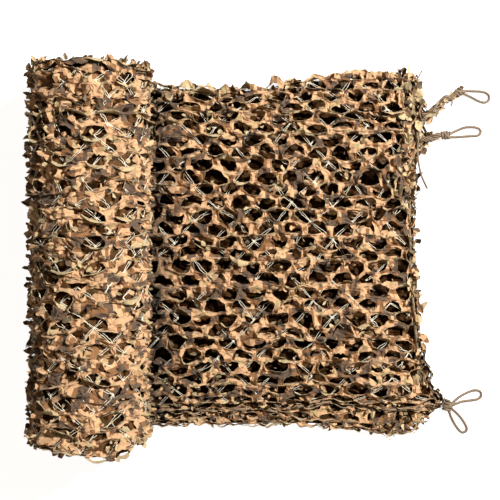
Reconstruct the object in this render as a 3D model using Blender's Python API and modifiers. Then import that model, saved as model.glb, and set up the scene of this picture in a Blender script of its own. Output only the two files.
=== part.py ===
"""Camouflage netting: most of it wound into a roll, with a loose end laid out flat beside it.

The net is die-cut cloth laced to a rope edge, folded lengthwise in two before it was rolled up.
X runs from the roll towards the loose end, Y along the roll, Z up; the netting lies on z = 0.
All lengths are in metres.
"""
import math

import bmesh
import bpy
from mathutils import Vector
from mathutils.bvhtree import BVHTree
from mathutils.geometry import delaunay_2d_cdt

MM = 0.001

# Places below are first given from the middle of the laid-out netting, then moved by this much,
# which puts the origin under the middle of everything but the four rope loops.
ORIGIN_SHIFT = Vector((-7.9, 7.6, 0.0)) * MM

# Roll
ROLL_RADIUS = 111.0 * MM
ROLL_X = -303.0 * MM             # where the roll's axis stands above the floor
ROLL_NEAR_END = -353.0 * MM      # the end at -Y
ROLL_FAR_END = 350.0 * MM
ROLL_SKEW = 10.0 * MM            # how far the upper turns have slid towards -Y
ROLL_FLAT = 1.5 * MM             # how deep the roll is pressed flat underneath
ROLL_FOOT = 27.0 * MM            # below this the outer turn runs off flat towards the loose end
ROLL_STEPS_AROUND = 30
ROLL_STEPS_ALONG = 22
ROLL_TURNS = 7
ROLL_LUMP = 3.0 * MM             # broad unevenness of the winding
ROLL_RIPPLE = 1.6 * MM           # the rows of lifted cuts
END_GROOVE = 7.0 * MM            # how deep the gap between two turns shows in the roll's ends
END_DOME = 9.0 * MM              # how far the inner turns stand out of the ends

# Cloth and its cuts
CLOTH = 2.0 * MM
CUT_PITCH = 50.5 * MM            # from one cut to the next along a row
ROW_PITCH = 25.6 * MM            # from one row of cuts to the next
CUT_START = (7.0 * MM, 17.0 * MM)
ROW_CROWDING = 0.16              # how much closer the rows lie towards the two long edges
CROWDING_START = 220.0 * MM
HOLE_WIDTH = 33.0 * MM
HOLE_HEIGHT = 17.0 * MM
HOLE_DRIFT = 2.6 * MM            # how far the stretched cloth moves a hole off its place
LAYER_HEIGHT = 23.0 * MM         # the upper layer of the fold above the floor
LAYER_DROP = 9.0 * MM            # its height at the open edges
LAYER_WAVE = 4.0 * MM
SHEET_LEFT = -224.0 * MM         # where the loose end leaves the roll's underside
FOLD_END = 322.0 * MM            # where the fold along the far side runs out into the free end
EDGE_STEP = 24.0 * MM
HOLE_MARGIN = 17.0 * MM          # least distance of a hole's middle from a long edge
END_MARGIN = 24.0 * MM           # the same from the roll and from the free end
MOST_ROWS = 18
MOST_COLUMNS = 8
FOLD_STEPS = 4
NECK_TIP = 388.0 * MM

# Hole's outline as shares of its half width and its height, flat side first, anticlockwise
HOLE_SHAPE = ((1.0, 0.30), (-1.0, 0.30), (-0.80, -0.30), (-0.34, -0.66), (0.34, -0.66), (0.80, -0.30))

# Edges of the loose end, in millimetres: (x, y)
FOLD_LINE = ((-224, 327), (-140, 321), (20, 320), (80, 332), (130, 340), (190, 347), (270, 349),
             (322, 344))
UPPER_RIM = ((-224, -342), (-100, -334), (0, -331), (70, -333), (110, -324), (160, -318),
             (210, -325), (270, -332), (320, -330), (388, -318))
LOWER_RIM = ((-224, -358), (-100, -356), (100, -356), (200, -366), (290, -377), (330, -369),
             (352, -345), (384, -322))
# Free end from the near corner's neck to the fold, with the two necks by the far corner
FREE_END = ((388, -304), (364, -262), (350, -205), (342, -141), (336, -60), (332, 40), (334, 141),
            (340, 197), (357, 217), (357, 231), (346, 250), (360, 266), (359, 279), (348, 296),
            (338, 326))

# Soft ridges across the loose end, in millimetres: (start x, start y, end x, end y, height, width)
RIDGES = (
    (-60, 308, 150, 284, 6, 16),
    (60, 324, 210, 306, 5, 12),
    (120, 268, 250, 298, 4, 14),
    (-190, 300, -110, 120, 4, 22),
    (-180, -60, -90, -220, 4, 24),
    (20, -262, 240, -250, 5, 16),
    (250, 60, 290, 240, 4, 18),
    (-20, 60, 120, 130, 3, 26),
    (140, -160, 280, -90, 3, 24),
)

# Ropes
ROPE = 6.0 * MM
ROPE_STEP = 15.0 * MM
ROPE_CLEAR = 0.8 * MM
LOOP_ROPE = 5.6 * MM
TAIL_STEP = 8.0 * MM
LOOP_STEP = 9.0 * MM

# The rope laced along the free end and along the near rim, in millimetres: (x, y)
END_ROPE = ((378, -298), (352, -256), (338, -200), (331, -140), (326, -60), (322, 40), (324, 140),
            (329, 196), (336, 240), (337, 280), (326, 318))
RIM_ROPE = ((366, -308), (320, -319), (270, -321), (210, -314), (160, -307), (110, -313), (70, -322),
            (0, -320), (-70, -322), (-120, -326))

# Gathered tails between the loose end and two knots, in millimetres: (x, y, z, radius)
TAIL_FAR = ((366, 276, 9, 5.0), (374, 283, 9, 6.5), (386, 295, 8, 5.5), (396, 307, 8, 7.5),
            (406, 306, 8, 5.5), (413, 313, 8, 4.6))
TAIL_NEAR = ((364, 225, 9, 5.5), (371, 228, 9, 7.0), (380, 232, 8, 6.0), (384, 232.5, 8, 4.6))

# Knots, in millimetres: (name, x, y, half length, half width, half height, heading in degrees)
KNOTS = (
    ("knot_far", 423.5, 320.0, 10.5, 8.5, 7.5, 40),
    ("knot_mid", 395.5, 232.0, 9.5, 8.5, 7.5, 0),
    ("knot_near", 399.5, -313.5, 10.5, 10.0, 8.5, 70),
)

# Loops of rope, in millimetres: (name, route of (x, y, z)), both ends at their knot
LOOPS = (
    ("loop_far_upper", ((434.6, 322.0, 8.0), (450, 321.6, 5.6), (468, 321, 3.6), (478, 318.5, 3.4),
                        (484.4, 312, 3.4), (483.6, 303.5, 3.4), (476, 299, 3.4), (464, 301.5, 3.4),
                        (448, 309.5, 4.4), (434.0, 315.2, 6.4))),
    ("loop_far_lower", ((405.6, 235.8, 7.6), (420, 242.5, 6.2), (434, 248.0, 6.6), (450, 248.6, 6.6),
                        (463, 244.8, 5.0), (468.0, 239.0, 3.6), (461, 233.2, 3.4), (446, 231.4, 3.4),
                        (428, 229.8, 3.8), (405.8, 228.6, 5.8))),
    ("loop_near_upper", ((410.2, -307.8, 8.6), (424, -297.0, 6.0), (440, -288.6, 4.0), (455, -284.0, 3.4),
                         (465.6, -286.2, 3.4), (468.6, -294.6, 3.4), (462, -301.6, 3.4),
                         (446, -304.6, 3.4), (428, -307.0, 4.4), (411.6, -313.0, 6.2))),
    ("loop_near_lower", ((401.6, -325.2, 8.2), (407, -338, 5.6), (414.4, -352, 3.6), (423, -364, 3.4),
                         (431.6, -370.0, 3.4), (438.4, -365.4, 3.4), (437.0, -355.0, 3.4),
                         (428.6, -341.0, 3.4), (418.0, -329.6, 4.4), (409.0, -321.6, 6.2))),
)


def clear_scene():
    for old in list(bpy.data.objects):
        bpy.data.objects.remove(old, do_unlink=True)


def finish_material(name, colour, roughness):
    material = bpy.data.materials.new(name)
    material.use_nodes = True
    shader = material.node_tree.nodes["Principled BSDF"]
    shader.inputs["Base Color"].default_value = (*colour, 1.0)
    shader.inputs["Roughness"].default_value = roughness
    shader.inputs["Metallic"].default_value = 0.0
    return material


def add_part(name, mesh, material, collection, parent):
    part = bpy.data.objects.new(name, mesh)
    mesh.materials.clear()
    mesh.materials.append(material)
    collection.objects.link(part)
    part.parent = parent
    return part


def mesh_from(build, name):
    mesh = bpy.data.meshes.new(name)
    bmesh.ops.recalc_face_normals(build, faces=build.faces)
    build.to_mesh(mesh)
    build.free()
    return mesh


def ease(share):
    share = min(max(share, 0.0), 1.0)
    return share * share * (3.0 - 2.0 * share)


def along(table, x):
    """The second column of a table in millimetres at x in metres, eased from row to row."""
    x_mm = x / MM
    if x_mm <= table[0][0]:
        return table[0][1] * MM
    for (x0, y0), (x1, y1) in zip(table, table[1:]):
        if x_mm <= x1:
            return (y0 + (y1 - y0) * ease((x_mm - x0) / (x1 - x0))) * MM
    return table[-1][1] * MM


def smooth_route(points, step):
    """Points about every step along a Catmull-Rom curve through the given ones."""
    route = [Vector(point) for point in points]
    padded = [2 * route[0] - route[1], *route, 2 * route[-1] - route[-2]]
    smooth = []
    for before, start, end, after in zip(padded, padded[1:], padded[2:], padded[3:]):
        pieces = max(1, round((end - start).length / step))
        for k in range(pieces):
            t = k / pieces
            smooth.append(0.5 * (2 * start + (end - before) * t
                                 + (2 * before - 5 * start + 4 * end - after) * t * t
                                 + (3 * start - before - 3 * end + after) * t ** 3))
    smooth.append(route[-1])
    return smooth


# ---------------------------------------------------------------- the roll

def roll_radius(angle, y):
    """Radius of the outer turn: uneven winding, and the rows of lifted cuts across it."""
    broad = math.sin(2 * angle + 9.0 * y) + 0.7 * math.sin(3 * angle - 13.0 * y + 1.1)
    ripple = math.sin(math.pi * y / ROW_PITCH) * math.cos(6 * angle)
    return ROLL_RADIUS + 0.5 * ROLL_LUMP * broad + ROLL_RIPPLE * ripple


def roll_point(share, angle, y, shift=0.0):
    """A point at a share of the roll's radius, pressed flat where it meets the floor."""
    radius = share * roll_radius(angle, y)
    across = radius * math.cos(angle)
    height = ROLL_RADIUS - ROLL_FLAT + radius * math.sin(angle)
    if share == 1.0 and across > 0.0 and height < ROLL_FOOT:
        height = 0.0
    lean = -ROLL_SKEW * share * math.sin(angle)
    return Vector((ROLL_X + across, y + lean + shift, max(height, 0.0)))


def spiral_cap(build, rim, y, outward):
    """Close one end of the roll with the edges of its turns: a spiral of ridges and grooves."""
    count = len(rim)
    lines = 2 * ROLL_TURNS
    half = math.pi / count
    spiral = []
    for line in range(1, lines):
        ring = []
        for i in range(count):
            share = 1.0 - (line + i / count) / lines
            depth = END_GROOVE * (line % 2)
            stand = outward * (END_DOME * (1.0 - share * share) - depth)
            ring.append(build.verts.new(roll_point(share, 2 * math.pi * i / count + half, y, stand)))
        spiral.append(ring)
    middle = build.verts.new(roll_point(0.0, 0.0, y, outward * END_DOME))
    for i in range(count - 1):
        build.faces.new((rim[i], rim[i + 1], spiral[0][i + 1], spiral[0][i]))
    build.faces.new((rim[-1], rim[0], spiral[0][0], spiral[1][0], spiral[0][-1]))
    for k in range(len(spiral) - 1):
        inner = spiral[k + 1]
        for i in range(count - 1):
            build.faces.new((spiral[k][i], spiral[k][i + 1], inner[i + 1], inner[i]))
        seam_end = spiral[k + 2][0] if k + 2 < len(spiral) else middle
        build.faces.new((spiral[k][-1], inner[0], seam_end, inner[-1]))
    for i in range(count - 1):
        build.faces.new((spiral[-1][i], spiral[-1][i + 1], middle))


def make_roll(material, collection, parent):
    build = bmesh.new()
    rings = []
    half = math.pi / ROLL_STEPS_AROUND
    for j in range(ROLL_STEPS_ALONG + 1):
        y = ROLL_NEAR_END + (ROLL_FAR_END - ROLL_NEAR_END) * j / ROLL_STEPS_ALONG
        rings.append([build.verts.new(roll_point(1.0, 2 * math.pi * i / ROLL_STEPS_AROUND + half, y))
                      for i in range(ROLL_STEPS_AROUND)])
    for low, high in zip(rings, rings[1:]):
        for i in range(ROLL_STEPS_AROUND):
            k = (i + 1) % ROLL_STEPS_AROUND
            build.faces.new((low[i], low[k], high[k], high[i]))
    spiral_cap(build, rings[0], ROLL_NEAR_END, -1)
    spiral_cap(build, rings[-1], ROLL_FAR_END, 1)
    return add_part("net_roll", mesh_from(build, "net_roll"), material, collection, parent)


# ---------------------------------------------------------------- the loose end

def ridge_height(x, y):
    """Height that the soft ridges add at a place."""
    height = 0.0
    place = Vector((x, y)) / MM
    for x0, y0, x1, y1, crest, width in RIDGES:
        start = Vector((x0, y0))
        run = Vector((x1, y1)) - start
        share = min(max((place - start).dot(run) / run.length_squared, 0.0), 1.0)
        away = (place - start - share * run).length / width
        height += crest * math.exp(-away * away)
    return height * MM


def free_end_x(y):
    """Where the free end stands at y."""
    y_mm = y / MM
    for (x0, y0), (x1, y1) in zip(FREE_END, FREE_END[1:]):
        if y0 <= y_mm <= y1:
            return (x0 + (x1 - x0) * (y_mm - y0) / (y1 - y0)) * MM
    return (FREE_END[0][0] if y_mm < FREE_END[0][1] else FREE_END[-1][0]) * MM


def upper_height(x, y):
    """Height of the upper layer's middle, lower towards its open edges and under the roll."""
    wave = math.sin(19.0 * x + 11.0 * y) + 0.6 * math.sin(31.0 * y - 7.0 * x + 0.8)
    full = LAYER_HEIGHT + 0.6 * LAYER_WAVE * wave + ridge_height(x, y)
    inside = min((free_end_x(y) - x) / (70 * MM), (y - along(UPPER_RIM, x)) / (60 * MM))
    low = LAYER_DROP + (full - LAYER_DROP) * ease(inside)
    beside_roll = 17 * MM + (low - 17 * MM) * ease((x - SHEET_LEFT) / (55 * MM))
    near_fold = ease((along(FOLD_LINE, x) - y) / (40 * MM))
    return 19 * MM + (beside_roll - 19 * MM) * near_fold if x < FOLD_END else beside_roll


def lower_height(x, y):
    """Height of the lower layer's middle: on the floor, lifting a little along its rim."""
    past = ease((along(UPPER_RIM, x) - 6 * MM - y) / (28 * MM))
    return CLOTH / 2 + past * (2.5 + 2.5 * math.sin(x / (17 * MM))) * MM


def hole_points(x, y, side):
    """Outline of one hole: its flat side where the tongue hangs, its round side opposite.

    Side is 1 for a hole with its flat side towards +Y and -1 for one that is turned round.
    """
    drift_x = HOLE_DRIFT * math.sin(61.0 * x + 47.0 * y)
    drift_y = 0.6 * HOLE_DRIFT * math.sin(53.0 * y - 71.0 * x + 2.0)
    size = 1.0 + 0.12 * math.sin(97.0 * x + 83.0 * y + 0.5)
    return [(x + drift_x + side * 0.5 * HOLE_WIDTH * size * across,
             y + drift_y + side * HOLE_HEIGHT * size * up) for across, up in HOLE_SHAPE]


def row_y(row):
    """Where a row lies: the rows close up towards the fold and towards the near rim."""
    y = CUT_START[1] + row * ROW_PITCH
    return y - math.copysign(ROW_CROWDING * max(0.0, abs(y) - CROWDING_START), y)


def holes_in_upper_layer():
    """Outlines of the holes: staggered rows whose flat sides face +Y and -Y in turn."""
    holes = []
    for row in range(-MOST_ROWS, MOST_ROWS + 1):
        y = row_y(row)
        side = -1 if row % 2 else 1
        for column in range(-MOST_COLUMNS, MOST_COLUMNS + 1):
            x = CUT_START[0] + (column + 0.5 * (row % 2)) * CUT_PITCH
            low = along(UPPER_RIM, x) + HOLE_MARGIN
            high = along(FOLD_LINE, x) - HOLE_MARGIN
            right = free_end_x(y) - END_MARGIN
            if SHEET_LEFT + END_MARGIN < x < right and low < y < high:
                holes.append(hole_points(x, y, side))
    return holes


def spaced(start, end, step):
    count = max(1, round(abs(end - start) / step))
    return [start + (end - start) * k / count for k in range(count + 1)]


def layer_surface(build, outline, holes, inner, height):
    """Fill an outline less its holes with triangles, and lift each point to its height."""
    points = [Vector(point) for point in outline]
    loops = [list(range(len(points)))]
    for hole in holes:
        loops.append(list(range(len(points), len(points) + len(hole))))
        points.extend(Vector(point) for point in hole)
    points.extend(Vector(point) for point in inner)
    flat, _, faces, _, _, sources = delaunay_2d_cdt(points, [], loops, 1, 1e-7)
    verts = [build.verts.new((p.x, p.y, height(p.x, p.y))) for p in flat]
    for face, source in zip(faces, sources):
        if list(source) == [0]:
            build.faces.new([verts[k] for k in face])
    return verts


def make_loose_end(material, collection, parent):
    """One sheet folded in two: the holed upper layer, the fold, and the lower layer on the floor."""
    build = bmesh.new()
    columns = spaced(SHEET_LEFT, FOLD_END, EDGE_STEP)
    fold = [(x, along(FOLD_LINE, x)) for x in columns]

    free_end = [(x * MM, y * MM) for x, y in FREE_END]
    upper_rim = [(x, along(UPPER_RIM, x)) for x in spaced(SHEET_LEFT, NECK_TIP, EDGE_STEP)]
    left = [(SHEET_LEFT, y) for y in spaced(fold[0][1], upper_rim[0][1], 2 * EDGE_STEP)[1:-1]]
    outline = [*upper_rim, *free_end, *reversed(fold), *left]
    upper = layer_surface(build, outline, holes_in_upper_layer(), [], upper_height)
    first_fold = len(upper_rim) + len(free_end)
    upper_fold = upper[first_fold:first_fold + len(fold)][::-1]

    lower_rim = [(x, along(LOWER_RIM, x)) for x in spaced(SHEET_LEFT, NECK_TIP - 4 * MM, EDGE_STEP)]
    lower_end = [(x - 5 * MM, y) for x, y in free_end]
    low_outline = [*lower_rim, *lower_end, *reversed(fold), (SHEET_LEFT, 0.12), (SHEET_LEFT, -0.12)]
    inner = [(x, y) for x in spaced(-0.14, 0.26, 0.08) for y in spaced(-0.28, 0.30, 0.08)]
    lower = layer_surface(build, low_outline, [], inner, lower_height)
    first_fold = len(lower_rim) + len(lower_end)
    lower_fold = lower[first_fold:first_fold + len(fold)][::-1]

    strips = [upper_fold]
    for k in range(1, FOLD_STEPS):
        turn = math.pi * k / FOLD_STEPS
        strip = []
        for top, bottom in zip(upper_fold, lower_fold):
            radius = (top.co.z - bottom.co.z) / 2
            strip.append(build.verts.new((top.co.x, top.co.y + radius * math.sin(turn),
                                          bottom.co.z + radius * (1 + math.cos(turn)))))
        strips.append(strip)
    strips.append(lower_fold)
    for strip, following in zip(strips, strips[1:]):
        for k in range(len(strip) - 1):
            build.faces.new((strip[k], strip[k + 1], following[k + 1], following[k]))
    part = add_part("net_loose_end", mesh_from(build, "net_loose_end"), material, collection, parent)
    thickness = part.modifiers.new("cloth", "SOLIDIFY")
    thickness.thickness = CLOTH
    thickness.offset = 0.0
    thickness.use_even_offset = False
    return part


# ---------------------------------------------------------------- ropes, tails and knots

def make_rope(name, route, diameter, material, collection, parent, radii=None):
    """A tube with closed ends along a route; radii, if given, swell it from place to place."""
    curve = bpy.data.curves.new(name, "CURVE")
    curve.dimensions = "3D"
    curve.bevel_depth = diameter / 2
    curve.bevel_resolution = 2
    curve.use_fill_caps = True
    curve.materials.append(material)
    spline = curve.splines.new("POLY")
    spline.points.add(len(route) - 1)
    for k, place in enumerate(route):
        spline.points[k].co = (*place, 1.0)
        spline.points[k].radius = radii[k] if radii else 1.0
    rope = bpy.data.objects.new(name, curve)
    collection.objects.link(rope)
    rope.parent = parent
    return rope


def on_sheet(table, sheet):
    """A route along the top of the loose end, through places given in millimetres."""
    surface = BVHTree.FromObject(sheet, bpy.context.evaluated_depsgraph_get())
    route = smooth_route([(x * MM, y * MM, 0.0) for x, y in table], ROPE_STEP)
    reach = (-0.7 * ROPE_STEP, -0.35 * ROPE_STEP, 0.0, 0.35 * ROPE_STEP, 0.7 * ROPE_STEP)
    for place in route:
        tops = []
        for aside in reach:
            for ahead in reach:
                above = Vector((place.x + aside, place.y + ahead, 1.0))
                hit = surface.ray_cast(above, Vector((0.0, 0.0, -1.0)))[0]
                if hit:
                    tops.append(hit.z)
        place.z = max(tops) + ROPE / 2 + ROPE_CLEAR
    return route


def make_tail(name, table, material, collection, parent):
    """Netting and rope gathered together, thick and thin in turn."""
    route = smooth_route([(x * MM, y * MM, z * MM) for x, y, z, _ in table], TAIL_STEP)
    radii = []
    for k in range(len(route)):
        place = k * (len(table) - 1) / (len(route) - 1)
        low = min(int(place), len(table) - 2)
        radii.append(table[low][3] + (table[low + 1][3] - table[low][3]) * (place - low))
    return make_rope(name, route, 2 * MM, material, collection, parent, radii)


def make_knot(name, x, y, long, wide, tall, heading, material, collection, parent):
    """A rope knot as one solid: a ball of wraps, its ridges winding round it."""
    build = bmesh.new()
    bmesh.ops.create_uvsphere(build, u_segments=16, v_segments=11, radius=1.0)
    for vert in build.verts:
        turn = math.atan2(vert.co.y, vert.co.x)
        wrap = 0.09 * math.cos(9.0 * vert.co.x + turn)
        vert.co *= 1.0 + wrap - 0.09
        vert.co.x *= long * MM
        vert.co.y *= wide * MM
        vert.co.z *= tall * MM
    knot = add_part(name, mesh_from(build, name), material, collection, parent)
    knot.location = (x * MM, y * MM, tall * MM)
    knot.rotation_euler = (0.0, 0.0, math.radians(heading))
    return knot


def main():
    clear_scene()
    collection = bpy.data.collections.new("camouflage_netting")
    bpy.context.scene.collection.children.link(collection)
    place = bpy.data.objects.new("netting_origin", None)
    place.location = ORIGIN_SHIFT
    collection.objects.link(place)

    net = finish_material("printed_cloth", (0.46, 0.30, 0.18), 0.85)
    rope = finish_material("twisted_rope", (0.32, 0.24, 0.16), 0.8)

    make_roll(net, collection, place)
    sheet = make_loose_end(net, collection, place)
    make_rope("end_rope", on_sheet(END_ROPE, sheet), ROPE, rope, collection, place)
    make_rope("rim_rope", on_sheet(RIM_ROPE, sheet), ROPE, rope, collection, place)
    make_tail("tail_far", TAIL_FAR, net, collection, place)
    make_tail("tail_mid", TAIL_NEAR, net, collection, place)
    for name, x, y, long, wide, tall, heading in KNOTS:
        make_knot(name, x, y, long, wide, tall, heading, rope, collection, place)
    for name, points in LOOPS:
        route = smooth_route([(x * MM, y * MM, z * MM) for x, y, z in points], LOOP_STEP)
        make_rope(name, route, LOOP_ROPE, rope, collection, place)


main()
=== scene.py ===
"""Camouflage netting, partly rolled: the cloth, strings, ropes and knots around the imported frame.

The net is printed cloth with rows of die-cut arcs, pulled open over a backing net of thin string.
Lattice places are metres along the cloth: u across the columns of cuts, v across their rows.
"""
import math

import bpy
import numpy as np
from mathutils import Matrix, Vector


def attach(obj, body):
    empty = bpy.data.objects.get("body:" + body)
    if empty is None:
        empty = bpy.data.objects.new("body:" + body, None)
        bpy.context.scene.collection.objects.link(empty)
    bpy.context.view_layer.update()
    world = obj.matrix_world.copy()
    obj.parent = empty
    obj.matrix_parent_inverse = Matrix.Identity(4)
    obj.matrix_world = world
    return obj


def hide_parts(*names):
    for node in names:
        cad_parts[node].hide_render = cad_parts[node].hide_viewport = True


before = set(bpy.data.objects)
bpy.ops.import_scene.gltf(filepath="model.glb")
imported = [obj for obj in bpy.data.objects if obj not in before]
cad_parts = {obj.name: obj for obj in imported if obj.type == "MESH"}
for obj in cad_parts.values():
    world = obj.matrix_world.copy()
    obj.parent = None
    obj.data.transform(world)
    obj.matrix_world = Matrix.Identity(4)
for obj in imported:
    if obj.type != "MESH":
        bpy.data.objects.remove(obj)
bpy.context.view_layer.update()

bl_info = {
    "name": "Camouflage Netting",
    "version": (1, 0, 0),
    "blender": (4, 5, 0),
    "location": "3D View > Sidebar > Netting",
    "description": "Builds a partly rolled camouflage net of die-cut cloth, string and rope",
    "category": "Object",
}

MM = 0.001
BODY = "root"
MIDDLE = np.array((-7.9, 7.6, 0.0)) * MM   # the middle of the laid-out netting in the frame

# ------------------------------------------------------------------ where the netting lies

# Roll: the axis stands over ROLL_X; its upper turns have slid a little towards -Y
ROLL_RADIUS = 111.0 * MM
ROLL_X = -303.0 * MM
ROLL_NEAR_END = -353.0 * MM
ROLL_FAR_END = 350.0 * MM
ROLL_SKEW = 10.0 * MM
ROLL_FLAT = 1.5 * MM
ROLL_LUMP = 3.0 * MM
ROLL_COLUMNS = 12                # columns of cuts round it
ROLL_ROW_PITCH = 24.4 * MM
ROLL_OPENING = (43.0 * MM, 20.0 * MM)
ROLL_TURNS = 7
ROLL_SLACK = 2.5 * MM            # how deep under its outside the outer turn lies
ROLL_GATHER = 8.0 * MM           # how far from its ends the outer turn's rows begin to crowd
TURNS_START = 9.0 * MM           # how deep under its outside the inner turns start
TURNS_SHORTER = 8.0 * MM         # how much shorter they are at each end
CORE = 10.0 * MM                 # radius at which they end
INNER_CLOTH = 0.8 * MM           # how thick they are drawn
END_DOME = 9.0 * MM

# How far the roll's ends stand out, in millimetres: (cosine of the place round it, far end, near end)
ROLL_REACH = ((-1.0, -25, -12), (-0.9, -6, -12), (-0.6, -4, -7), (0.0, 3, 3), (0.35, 2, 14),
              (0.7, -7, 20), (0.85, -7, 2), (1.0, -17, -7))

# Loose end: rows of cuts, the heights of its two layers and how their edges are drawn together
CUT_START = (7.0 * MM, 17.0 * MM)
UNDER_CUT_START = (25.0 * MM, 26.0 * MM)
ROW_CROWDING = 0.16
CROWDING_START = 220.0 * MM
LAYER_HEIGHT = 23.0 * MM
LAYER_DROP = 9.0 * MM
LAYER_WAVE = 4.0 * MM
SHEET_LEFT = -224.0 * MM
TUCKED_TO = -236.0 * MM          # how far the cloth reaches under the roll
TUCK = 10.0 * MM
BESIDE_ROLL = 10.0 * MM          # height of the upper layer where it comes out from the roll
FOLD_END = 322.0 * MM
FOLD_HEIGHT = 19.0 * MM
FOLD_RADIUS = 9.0 * MM
UNDER_HEIGHT = 5.0 * MM
END_GATHER = 40.0 * MM           # how far from the free end its rope begins to crowd the cloth
UNDER_END_GATHER = 20.0 * MM     # the same for the lower layer
RIM_GATHER = 38.0 * MM           # the same for the upper layer's near rim
LOWER_GATHER = 28.0 * MM         # and for the lower layer's
RIM_RIPPLE = 3.8 * MM            # ripples of gathered cloth come every 2 pi times this
END_RIPPLE = 3.6 * MM

# Edges of the loose end, in millimetres: (x, y)
FOLD_LINE = ((-224, 327), (-140, 321), (20, 320), (80, 332), (130, 340), (190, 347), (270, 349),
             (322, 344))
UPPER_RIM = ((-224, -342), (-100, -334), (0, -331), (70, -333), (110, -324), (160, -318),
             (210, -325), (270, -332), (320, -330), (388, -318))
LOWER_RIM = ((-224, -358), (-100, -356), (100, -356), (200, -366), (290, -377), (330, -369),
             (352, -345), (384, -322))
FREE_END = ((388, -304), (364, -262), (350, -205), (342, -141), (336, -60), (332, 40), (334, 141),
            (340, 197), (357, 217), (357, 231), (346, 250), (360, 266), (359, 279), (348, 296),
            (338, 326))
NEAR_CORNER = ((292, -368), (340, -350), (376, -322))    # the lowest layer's, before FREE_END

# Soft ridges across the loose end, in millimetres: (start x, start y, end x, end y, height, width)
RIDGES = (
    (-60, 308, 150, 284, 6, 16),
    (60, 324, 210, 306, 5, 12),
    (120, 268, 250, 298, 4, 14),
    (-190, 300, -110, 120, 4, 22),
    (-180, -60, -90, -220, 4, 24),
    (20, -262, 240, -250, 5, 16),
    (250, 60, 290, 240, 4, 18),
    (-20, 60, 120, 130, 3, 26),
    (140, -160, 280, -90, 3, 24),
)

END_ROPE = ((378, -298), (352, -256), (338, -200), (331, -140), (326, -60), (322, 40), (324, 140),
            (329, 196), (336, 240), (337, 280), (326, 318))
RIM_ROPE = ((366, -308), (320, -319), (270, -321), (210, -314), (160, -307), (110, -313), (70, -322),
            (0, -320), (-70, -322), (-120, -326))
# Strands of the edge rope that have come loose by the far corner, in millimetres: (x, y, z)
FREE_STRANDS = (
    ((350, 262, 14), (343, 246, 18), (338, 226, 20), (336, 200, 20), (338, 178, 20), (342, 156, 20),
     (348, 140, 19), (357, 124, 13)),
    ((346, 292, 18), (339, 276, 24), (345, 256, 20), (334, 236, 26), (338, 212, 20)),
    ((318, 336, 16), (328, 340, 20), (337, 345, 18), (341, 352, 15), (347, 362, 13)),
)
# Gathered tails, in millimetres: node, rows of (x, y, z, half width), the root under the cloth, the
# place inside the knot, and the number of leaves
TAILS = (
    ("tail_far", ((366, 276, 9, 5.0), (374, 283, 9, 6.5), (386, 295, 8, 5.5), (396, 307, 8, 7.5),
                  (406, 306, 8, 5.5), (413, 313, 8, 4.6)), (344, 264, 12), (421, 318, 8), 34),
    ("tail_mid", ((364, 225, 9, 5.5), (371, 228, 9, 7.0), (380, 232, 8, 6.0), (384, 232.5, 8, 4.6)),
     (342, 225, 12), (392, 232, 8), 18),
)
# Knots, in millimetres: name, x, y, half length, half width, half height, heading in degrees
KNOTS = (
    ("knot_far", 423.5, 320.0, 10.5, 8.5, 7.5, 40),
    ("knot_mid", 395.5, 232.0, 9.5, 8.5, 7.5, 0),
    ("knot_near", 399.5, -313.5, 10.5, 10.0, 8.5, 70),
)
LOOP_ROPE = 5.6 * MM
KNOT_WRAPS = 3.25
# Rope loops, in millimetres: node, the knot that holds it, (x, y, z) along it
LOOPS = (
    ("loop_far_upper", "knot_far",
     ((434.6, 322.0, 8.0), (450, 321.6, 5.6), (468, 321, 3.6), (478, 318.5, 3.4), (484.4, 312, 3.4),
      (483.6, 303.5, 3.4), (476, 299, 3.4), (464, 301.5, 3.4), (448, 309.5, 4.4), (434.0, 315.2, 6.4))),
    ("loop_far_lower", "knot_mid",
     ((405.6, 235.8, 7.6), (420, 242.5, 6.2), (434, 247.8, 6.6), (448, 249.0, 6.2), (459.4, 247.5, 5.2),
      (465.2, 244.5, 4.4), (467.5, 239.4, 3.8), (465.3, 234.4, 3.4), (459.8, 231.7, 3.4),
      (446, 230.9, 3.4), (428, 229.6, 3.8), (405.8, 228.6, 5.8))),
    ("loop_near_upper", "knot_near",
     ((410.2, -307.8, 8.6), (424, -297.0, 6.0), (440, -288.6, 4.0), (455, -284.0, 3.4),
      (465.6, -286.2, 3.4), (468.6, -294.6, 3.4), (462, -301.6, 3.4), (446, -304.6, 3.4),
      (428, -307.0, 4.4), (411.6, -313.0, 6.2))),
    ("loop_near_lower", "knot_near",
     ((401.6, -325.2, 8.2), (407, -338, 5.6), (414.4, -352, 3.6), (423.6, -364.6, 3.4),
      (430.6, -369.2, 3.4), (436.8, -367.6, 3.4), (439.2, -361.8, 3.4), (436.4, -353.6, 3.4),
      (428.4, -341.0, 3.4), (418.0, -329.6, 4.4), (409.0, -321.6, 6.2))),
)


# ------------------------------------------------------------------ small tools

def linear(hex_colour):
    """An sRGB hex colour as linear red, green and blue."""
    parts = [int(hex_colour[k:k + 2], 16) / 255 for k in (1, 3, 5)]
    return tuple(c / 12.92 if c <= 0.04045 else ((c + 0.055) / 1.055) ** 2.4 for c in parts)


def ease(share):
    """A share from 0 to 1 that starts and ends gently."""
    share = np.clip(share, 0.0, 1.0)
    return share * share * (3.0 - 2.0 * share)


def along(table, x):
    """The second column of a table in millimetres at x in metres, eased from row to row."""
    xs, ys = np.array(table, float).T * MM
    k = np.clip(np.searchsorted(xs, x) - 1, 0, len(xs) - 2)
    return ys[k] + (ys[k + 1] - ys[k]) * ease((x - xs[k]) / (xs[k + 1] - xs[k]))


def free_end_x(y, table=FREE_END):
    """Where the free end stands at y."""
    xs, ys = np.array(table, float).T * MM
    return np.interp(y, ys, xs)


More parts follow.
